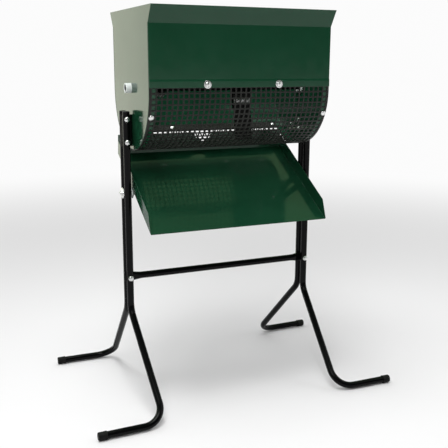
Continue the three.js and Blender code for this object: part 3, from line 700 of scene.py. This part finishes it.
def make_sieve():
    """The perforated sheet: rows of square holes round the drum, plain borders elsewhere."""
    pitch = 2 * HALF_WIDTH / (HOLE_COLUMNS + 0.7)
    half_x = high("sieve_trough").x
    radius = SIEVE_R - SHEET

    def at(x, s):
        """The point at x and at length s below the shaft's height, on the sheet's inner face."""
        if s < DROP:
            return Vector((x, -radius, AXIS_Z - s))
        angle = math.pi + (s - DROP) / SIEVE_R
        return Vector((x, radius * math.cos(angle), ARC_Z + radius * math.sin(angle)))

    bm = bmesh.new()
    column_x = [(i - (HOLE_COLUMNS - 1) / 2) * pitch for i in range(HOLE_COLUMNS)]
    row_s = [FIRST_ROW + j * pitch for j in range(HOLE_ROWS)]
    grid_x = [-half_x] + [column_x[0] + (i - 0.5) * pitch for i in range(HOLE_COLUMNS + 1)] + [half_x]
    grid_s = [AXIS_Z - LAP_TOP] + [FIRST_ROW + (j - 0.5) * pitch for j in range(HOLE_ROWS + 1)]
    plain, plain_steps = DROP + SIEVE_R * SIEVE_END - grid_s[-1], 4
    grid_s += [grid_s[-1] + plain * k / plain_steps for k in range(1, plain_steps + 1)]
    verts = [[bm.verts.new(at(x, s)) for x in grid_x] for s in grid_s]
    half = HOLE / 2
    for j in range(len(grid_s) - 1):
        for i in range(len(grid_x) - 1):
            cell = (verts[j][i], verts[j][i + 1], verts[j + 1][i + 1], verts[j + 1][i])
            if not (1 <= i <= HOLE_COLUMNS and 1 <= j <= HOLE_ROWS):
                bm.faces.new(cell)
                continue
            x0, s0 = column_x[i - 1], row_s[j - 1]
            square = [(x0 - half, s0 - half), (x0 + half, s0 - half), (x0 + half, s0 + half),
                      (x0 - half, s0 + half)]
            outline = rounded_path(square, HOLE_CORNER, 2, closed=True)
            hole = [bm.verts.new(at(x, s)) for x, s in outline]
            for k in range(4):
                corner_points = hole[3 * k:3 * k + 3]
                following = hole[(3 * k + 3) % 12]
                bm.faces.new((cell[k], cell[(k + 1) % 4], following, corner_points[2]))
                bm.faces.new((cell[k], corner_points[1], corner_points[0]))
                bm.faces.new((cell[k], corner_points[2], corner_points[1]))
    bm.normal_update()
    for face in bm.faces:
        centre = face.calc_center_median()
        if face.normal.dot(Vector((0, centre.y, min(centre.z - ARC_Z, 0.0)))) < 0:
            face.normal_flip()
    piece = piece_from(bm, "sieve_trough", tidy_normals=False)
    thick = piece.modifiers.new("thickness", "SOLIDIFY")
    thick.thickness = SHEET
    thick.offset = 1
    thick.use_even_offset = True
    sharpen = piece.modifiers.new("flat", "WEIGHTED_NORMAL")
    sharpen.keep_sharp = True


def make_bracket(side):
    """The folded channel that joins an upright to the side plate."""
    s = SIDES[side]
    node = f"hopper_bracket_{side}"
    half = high(node).y
    near, far = HALF_WIDTH + GAP, max(abs(low(node).x), abs(high(node).x))
    path = rounded_path([(far, -half), (near, -half), (near, half), (far, half)],
                        [0, 3 * MM, 3 * MM, 0], 5)
    inner = offset_path(path, -BRACKET_SHEET)
    if abs(inner[0].y) > half:
        inner = offset_path(path, BRACKET_SHEET)
    n = len(path)
    bm = bmesh.new()
    section = path + inner[::-1]
    rings = [[bm.verts.new((s * x, y, z)) for x, y in section] for z in (low(node).z, high(node).z)]
    skin(bm, rings)
    for made in rings:
        for i in range(n - 1):
            bm.faces.new((made[i], made[i + 1], made[2 * n - 2 - i], made[2 * n - 1 - i]))
    sheet_finish(piece_from(bm, node), 0.3 * MM)


def make_hopper_bolts():
    bracket_grip = SHEET + BRACKET_SHEET + 3 * GAP
    narrow_flats = 2 * (LEG_Y - TUBE_R - GAP - BRACKET_SHEET) - 2 * GAP
    sheets_grip = 2 * SHEET + 3 * GAP
    sieve_out = Vector((0, -math.cos(SIEVE_BOLT_ANGLE), -math.sin(SIEVE_BOLT_ANGLE)))
    lap_angle = (LAP_EDGE + SIEVE_END) / 2
    lap_out = Vector((0, -math.cos(lap_angle), -math.sin(lap_angle)))
    for side, s in SIDES.items():
        for height in ("low", "high"):
            node = f"bracket_bolt_{side}_{height}"
            seat = (s * (HALF_WIDTH - SHEET - GAP), 0, middle(node).z)
            bolt(node, seat, (-s, 0, 0), bracket_grip, flats=narrow_flats)
        node = f"sieve_bolt_{side}"
        seat = Vector((middle(node).x, 0, ARC_Z)) + sieve_out * (SIEVE_R + GAP)
        bolt(node, seat, sieve_out, sheets_grip + GAP)
        node = f"panel_bolt_{side}"
        seat = (middle(node).x, -(PANEL_Y + SHEET + 2 * GAP), middle(node).z)
        bolt(node, seat, (0, -1, 0), sheets_grip, washer_r=WASHER_R, washer_t=WASHER_T)
        node = f"back_corner_bolt_{side}"
        bolt(node, (middle(node).x, PANEL_Y + GAP, middle(node).z), (0, 1, 0), sheets_grip)
        for word in ("inner", "outer"):
            node = f"back_lap_bolt_{side}_{word}"
            seat = Vector((middle(node).x, 0, ARC_Z)) + lap_out * (SIEVE_R + SHEET + 1.5 * GAP)
            bolt(node, seat, lap_out, sheets_grip)


# ---- Agitator ----------------------------------------------------------------------------------
def make_bush(side):
    s = SIDES[side]
    node = f"shaft_bush_{side}"
    mouth = max(abs(low(node).x), abs(high(node).x))
    collar_r = (high(node).z - low(node).z) / 2
    plate_back = -(mouth - HALF_WIDTH) - SHEET - GAP
    far_end = plate_back - BUSH_COLLAR
    outline = [(BUSH_BORE_R, 0), (BUSH_BORE_R, far_end), (collar_r, far_end), (collar_r, plate_back),
               (BUSH_R, plate_back), (BUSH_R, 0), (BUSH_BORE_R, 0)]
    radii = [0, 0.8 * MM, 1.2 * MM, 0.6 * MM, 0, 1.2 * MM, 0]
    profile = [tuple(p) for p in rounded_path(outline, radii, 5)]
    bm = bmesh.new()
    lathe(bm, profile, Matrix.Translation((s * mouth, 0, AXIS_Z)) @ towards((s, 0, 0)), 56)
    piece_from(bm, node)


def plate(bm, outline, z, thickness, matrix):
    """A flat plate with the outline, from z up."""
    lower = ring(bm, [(x, y, z) for x, y in outline], matrix)
    upper = ring(bm, [(x, y, z + thickness) for x, y in outline], matrix)
    skin(bm, [lower, upper])
    bm.faces.new(lower[::-1])
    bm.faces.new(upper)


def paddle_place(word):
    """A paddle's own frame: +Y is its reach and its plates lie on the +Z side of the shaft."""
    x = middle(f"paddle_blade_{word}").x
    swing = Matrix.Rotation(math.radians(PADDLE_ANGLES[word]), 4, "X")
    return Matrix.Translation((x, 0, AXIS_Z)) @ swing @ Matrix.Rotation(math.pi, 4, "Y")


ARM_Z = TUBE_R - WELD_DEPTH


def weld_bead(bm, matrix, y, half):
    """A rippled bead along the shaft, in the corner between it and an arm's plate."""
    steps, sides = 60, 8
    rings = []
    for i in range(steps + 1):
        x = (i / steps - 0.5) * 2 * half
        taper = math.sqrt(max(0.0, 1 - (x / half) ** 8))
        r = (1.7 * MM + 0.25 * MM * math.sin(i * 1.9)) * taper + 0.05 * MM
        middle_z = ARM_Z - 0.4 * MM
        rings.append([bm.verts.new(matrix @ Vector((x, y + r * math.cos(a), middle_z + r * math.sin(a))))
                      for a in (2 * math.pi * k / sides for k in range(sides))])
    skin(bm, rings)
    bm.faces.new(rings[0][::-1])
    bm.faces.new(rings[-1])


def make_shaft():
    """The shaft tube with its four arms welded on."""
    end = high("agitator_shaft").x
    half = ARM_WIDTH / 2
    bm = bmesh.new()
    ends = [Vector((-end, 0, AXIS_Z)), Vector((end, 0, AXIS_Z))]
    tube(bm, [(p, Vector((1, 0, 0))) for p in ends], TUBE_R, TUBE_WALL, 40)
    corners = [(-half, -TUBE_R), (half, -TUBE_R), (half, ARM_REACH), (-half, ARM_REACH)]
    outline = rounded_path(corners, [2 * MM, 2 * MM, 4 * MM, 4 * MM], 6, closed=True)
    for word in PADDLE_ANGLES:
        plate(bm, outline, ARM_Z, ARM_SHEET, paddle_place(word))
        for y in (-4.6 * MM, 4.6 * MM):
            weld_bead(bm, paddle_place(word), y, half - 2 * MM)
    sheet_finish(piece_from(bm, "agitator_shaft"), 0.3 * MM)


def make_paddle(word):
    matrix = paddle_place(word)
    half = BLADE_WIDTH / 2
    blade_z = ARM_Z + ARM_SHEET + GAP
    bm = bmesh.new()
    outline = rounded_path([(-half, BLADE_START), (half, BLADE_START), (half, BLADE_REACH),
                            (-half, BLADE_REACH)], [1 * MM, 1 * MM, 4 * MM, 4 * MM], 6, closed=True)
    plate(bm, outline, blade_z, BLADE_THICK, matrix)
    sheet_finish(piece_from(bm, f"paddle_blade_{word}"), 0.8 * MM)

    strip_z = blade_z + BLADE_THICK + GAP
    bm = bmesh.new()
    near, far = CLAMP_R - CLAMP_HEIGHT / 2, CLAMP_R + CLAMP_HEIGHT / 2
    corners = [(-half, near), (half, near), (half, far), (-half, far)]
    plate(bm, rounded_path(corners, 1.5 * MM, 4, closed=True), strip_z, CLAMP_STRIP, matrix)
    nut_top = ARM_Z - GAP
    for x in (-CLAMP_SPACING, 0, CLAMP_SPACING):
        stud = matrix @ Matrix.Translation((x, CLAMP_R, 0))
        nut(bm, STUD_FLATS, STUD_HEAD_H, 0.0, stud, base=strip_z + CLAMP_STRIP, sides=36)
        lathe(bm, [(STUD_R, strip_z + CLAMP_STRIP), (STUD_R, nut_top)], stud, 20)
        nut(bm, STUD_FLATS, STUD_HEAD_H, STUD_R, stud, base=nut_top - STUD_HEAD_H, sides=36)
        thread(bm, STUD_R, nut_top - STUD_HEAD_H, nut_top - STUD_HEAD_H - 1 * MM, stud)
    piece_from(bm, f"paddle_clamp_{word}")


# ---- Tray --------------------------------------------------------------------------------------
TRAY_FRAME = Matrix.Translation((0, 0, PIVOT_Z)) @ Matrix.Rotation(TRAY_TILT, 4, "X")


def make_tray():
    """One folded sheet: floor, side walls, a leaning notched back wall, and a lug under each side."""
    front = -PIVOT_FROM_LIP
    back = front + TRAY_LENGTH
    floor = PIVOT_BELOW_FLOOR
    top = floor + TRAY_WALL
    bend = TRAY_BEND_R
    steps = 6
    lean = TRAY_BACK_ANGLE
    inner_x = TRAY_HALF - bend
    floor_end = back - bend * math.tan(lean / 2)
    bm = bmesh.new()

    def vert(x, y, z):
        return bm.verts.new(TRAY_FRAME @ Vector((x, y, z)))

    def on_back(distance):
        """(y, z) on the back wall's outer face, at a distance from the fold."""
        return back + distance * math.cos(lean), floor + distance * math.sin(lean)

    bm.faces.new([vert(x, y, floor) for x, y in
                  ((-inner_x, front), (inner_x, front), (inner_x, floor_end), (-inner_x, floor_end))])
    for sx in (-1, 1):
        rows = []
        for k in range(steps + 1):
            angle = math.pi / 2 * k / steps
            x, z = sx * (inner_x + bend * math.sin(angle)), floor + bend * (1 - math.cos(angle))
            rows.append([vert(x, front, z), vert(x, back + (z - floor) / math.tan(lean), z)])
        skin(bm, rows, closed=False)
        rear_y, rear_z = on_back(TRAY_WALL / math.sin(lean))
        bm.faces.new((*rows[-1], vert(sx * TRAY_HALF, rear_y, rear_z),
                      vert(sx * TRAY_HALF, front + TRAY_CHAMFER, top)))
    rows = []
    for k in range(steps + 1):
        angle = lean * k / steps
        y, z = floor_end + bend * math.sin(angle), floor + bend * (1 - math.cos(angle))
        out = inner_x + bend * min(1.0, 2 * k / steps)
        rows.append([vert(-out, y, z), vert(out, y, z)])
    skin(bm, rows, closed=False)
    edge = [(TRAY_HALF, TRAY_BACK_WALL), (TRAY_NOTCH_R + 2 * MM, TRAY_BACK_WALL)]
    for k in range(25):
        angle = math.pi * k / 24
        edge.append((TRAY_NOTCH_R * math.cos(angle),
                     TRAY_BACK_WALL - 1 * MM - TRAY_NOTCH_R * math.sin(angle)))
    edge += [(-TRAY_NOTCH_R - 2 * MM, TRAY_BACK_WALL), (-TRAY_HALF, TRAY_BACK_WALL)]
    bm.faces.new((*rows[-1], *(vert(x, *on_back(up)) for x, up in edge)))
    bmesh.ops.remove_doubles(bm, verts=bm.verts, dist=1e-6)
    bm.normal_update()
    inside = TRAY_FRAME @ Vector((0, (front + back) / 2, top))
    for face in bm.faces:
        if face.normal.dot(inside - face.calc_center_median()) > 0:
            face.normal_flip()
    wide = LUG_R + LUG_SLOPE
    rounded = rounded_path([(-wide, floor), (-LUG_R, 0), (-LUG_R * 0.9, -LUG_R), (LUG_R * 0.9, -LUG_R),
                            (LUG_R, 0), (wide, floor)], [0, 2 * MM, 11 * MM, 11 * MM, 2 * MM, 0], 6)
    lug = [(wide, floor + 2 * bend), (-wide, floor + 2 * bend)] + [tuple(p) for p in rounded]
    for sx in (-1, 1):
        made = bm.faces.new([vert(sx * (TRAY_HALF - 0.02 * MM), y, z) for y, z in lug])
        made.normal_update()
        if made.normal.x * sx < 0:
            made.normal_flip()
    piece = piece_from(bm, "tray", tidy_normals=False)
    thick = piece.modifiers.new("thickness", "SOLIDIFY")
    thick.thickness = SHEET
    thick.offset = -1
    thick.use_even_offset = True
    sheet_finish(piece, 0.35 * MM)


def collar(node, x, direction, outer, bore, thickness, edge):
    """A washer or spacer on the tray's pivot axis."""
    outline = [(bore, 0), (outer, 0), (outer, thickness), (bore, thickness), (bore, 0)]
    profile = [tuple(p) for p in rounded_path(outline, [0, edge, edge, 0, 0], 4)]
    bm = bmesh.new()
    lathe(bm, profile, Matrix.Translation((x, 0, PIVOT_Z)) @ towards(direction), 48)
    piece_from(bm, node)


def make_tray_clamp(side):
    s = SIDES[side]
    outwards = (s, 0, 0)
    spacer, washer, pivot = (f"tray_{word}_{side}" for word in ("spacer", "washer", "pivot_bolt"))

    def start(node):
        return min(abs(low(node).x), abs(high(node).x))

    def length(node):
        return high(node).x - low(node).x

    spacer_r = (high(spacer).z - low(spacer).z) / 2
    washer_r = (high(washer).z - low(washer).z) / 2
    collar(spacer, s * start(spacer), outwards, spacer_r, PIVOT_HOLE_R, length(spacer), 0.8 * MM)
    collar(washer, s * start(washer), outwards, washer_r, PIVOT_HOLE_R, length(washer), 0.5 * MM)
    head = TRAY_HALF - SHEET - GAP
    bolt(pivot, (s * head, 0, PIVOT_Z), (-s, 0, 0), start(washer) + length(washer) + GAP - head)


# ---- Stage -------------------------------------------------------------------------------------
def make_floor():
    """A pale round floor that fades to the white of the world at its rim."""
    bm = bmesh.new()
    centre = Vector((0, 0, 0))
    radii = [0.5, 1, 2, 4, 8, 16, 40]
    rings = [[bm.verts.new(centre)]]
    rings += [[bm.verts.new(p) for p in circle(r, 0, 64)] for r in radii]
    skin(bm, rings)
    mesh = bpy.data.meshes.new("floor")
    bm.to_mesh(mesh)
    bm.free()
    floor = bpy.data.objects.new("floor", mesh)
    bpy.context.scene.collection.objects.link(floor)
    material = bpy.data.materials.new("floor")
    material.use_nodes = True
    tree = material.node_tree
    tree.nodes.remove(tree.nodes["Principled BSDF"])
    where = tree.nodes.new("ShaderNodeTexCoord")
    distance = tree.nodes.new("ShaderNodeVectorMath")
    distance.operation = "LENGTH"
    fade = tree.nodes.new("ShaderNodeMapRange")
    fade.interpolation_type = "SMOOTHSTEP"
    fade.inputs["From Min"].default_value = 1.2
    fade.inputs["From Max"].default_value = 5.0
    pale = tree.nodes.new("ShaderNodeBsdfDiffuse")
    pale.inputs["Color"].default_value = (0.86, 0.86, 0.86, 1)
    glow = tree.nodes.new("ShaderNodeEmission")
    glow.inputs["Strength"].default_value = BACKDROP
    mix = tree.nodes.new("ShaderNodeMixShader")
    tree.links.new(where.outputs["Object"], distance.inputs[0])
    tree.links.new(distance.outputs["Value"], fade.inputs["Value"])
    tree.links.new(fade.outputs["Result"], mix.inputs["Fac"])
    tree.links.new(pale.outputs["BSDF"], mix.inputs[1])
    tree.links.new(glow.outputs["Emission"], mix.inputs[2])
    tree.links.new(mix.outputs["Shader"], tree.nodes["Material Output"].inputs["Surface"])
    mesh.materials.append(material)


BACKDROP = 0.97  # brightness of the backdrop as the camera sees it


def make_world():
    """White studio surround: brighter behind the sieve than on the camera's side."""
    world = bpy.data.worlds.new("studio")
    bpy.context.scene.world = world
    world.use_nodes = True
    tree = world.node_tree
    background = tree.nodes["Background"]
    where = tree.nodes.new("ShaderNodeTexCoord")
    axes = tree.nodes.new("ShaderNodeSeparateXYZ")
    glow = tree.nodes.new("ShaderNodeMapRange")
    glow.interpolation_type = "SMOOTHSTEP"
    glow.inputs["From Min"].default_value = -0.5
    glow.inputs["From Max"].default_value = 0.5
    glow.inputs["To Min"].default_value = 0.05
    glow.inputs["To Max"].default_value = 0.9
    path = tree.nodes.new("ShaderNodeLightPath")
    choose = tree.nodes.new("ShaderNodeMix")
    choose.inputs[3].default_value = BACKDROP
    tree.links.new(where.outputs["Generated"], axes.inputs["Vector"])
    tree.links.new(axes.outputs["Y"], glow.inputs["Value"])
    tree.links.new(glow.outputs["Result"], choose.inputs[2])
    tree.links.new(path.outputs["Is Camera Ray"], choose.inputs[0])
    tree.links.new(choose.outputs[0], background.inputs["Strength"])
    warmth = tree.nodes.new("ShaderNodeMapRange")
    warmth.inputs["From Min"].default_value = 0.1
    warmth.inputs["From Max"].default_value = 0.8
    seen = tree.nodes.new("ShaderNodeMath")
    seen.operation = "MULTIPLY"
    tint = tree.nodes.new("ShaderNodeMix")
    tint.data_type = "RGBA"
    tint.inputs[6].default_value = (1, 1, 1, 1)
    tint.inputs[7].default_value = (0.5, 0.84, 0.42, 1)
    tree.links.new(axes.outputs["Z"], warmth.inputs["Value"])
    tree.links.new(warmth.outputs["Result"], seen.inputs[0])
    tree.links.new(path.outputs["Is Glossy Ray"], seen.inputs[1])
    tree.links.new(seen.outputs["Value"], tint.inputs[0])
    tree.links.new(tint.outputs[2], background.inputs["Color"])


def add_softbox(name, place, target, size, power, colour=(1, 1, 1), diffuse=True):
    data = bpy.data.lights.new(name, "AREA")
    data.color = colour
    data.shape = "RECTANGLE"
    data.size, data.size_y = size
    data.energy = power
    lamp = bpy.data.objects.new(name, data)
    lamp.location = place
    lamp.rotation_mode = "QUATERNION"
    lamp.rotation_quaternion = (Vector(target) - Vector(place)).to_track_quat("-Z", "Y")
    lamp.visible_camera = False
    lamp.visible_diffuse = diffuse
    bpy.context.scene.collection.objects.link(lamp)


def make_camera():
    """The photograph's view: from the front and somewhat to the left, a little above the shaft."""
    yaw = math.radians(23.667)
    pitch = math.radians(12.634)
    roll = math.radians(0.22)
    ahead = Vector((math.sin(yaw) * math.cos(pitch), math.cos(yaw) * math.cos(pitch), -math.sin(pitch)))
    right = Vector((math.cos(yaw), -math.sin(yaw), 0))
    up = right.cross(ahead)
    across = right * math.cos(roll) + up * math.sin(roll)
    upward = up * math.cos(roll) - right * math.sin(roll)
    data = bpy.data.cameras.new("camera")
    data.sensor_width = 36
    data.lens = 58.06
    camera = bpy.data.objects.new("camera", data)
    turn = Matrix((across, upward, -ahead)).transposed().to_4x4()
    camera.matrix_world = Matrix.Translation((-0.9468, -2.2008, 1.0793)) @ turn
    bpy.context.scene.collection.objects.link(camera)
    bpy.context.scene.camera = camera


# ---- Build -------------------------------------------------------------------------------------
for side in SIDES:
    for face in FACES:
        make_leg(side, face)
        make_cap(side, face)
        make_plug(side, face)
    make_side_plate(side)
    make_bracket(side)
    make_bush(side)
    make_tray_clamp(side)
make_crossbar()
make_front_bolts()
make_hopper_bolts()
make_front_panel()
make_back_panel()
make_sieve()
make_shaft()
for word in PADDLE_ANGLES:
    make_paddle(word)
make_tray()
make_floor()
make_world()
add_softbox("key", (-1.6, -2.6, 3.2), (0, 0, 0.8), (1.6, 1.6), 50)
add_softbox("fill", (2.6, -1.4, 1.8), (0, 0, 0.7), (1.2, 2.0), 15)
add_softbox("overhead", (-0.5, -0.3, 3.4), (0, 0, 0.8), (1.3, 1.3), 60)
add_softbox("rear_left", (-1.05, 3.2, 0.95), (-0.3, 0, 0.95), (1.2, 1.7), 4.4, (1.0, 1.0, 0.62), False)
make_camera()
bpy.context.scene.view_settings.view_transform = "Standard"

bpy.context.view_layer.update()
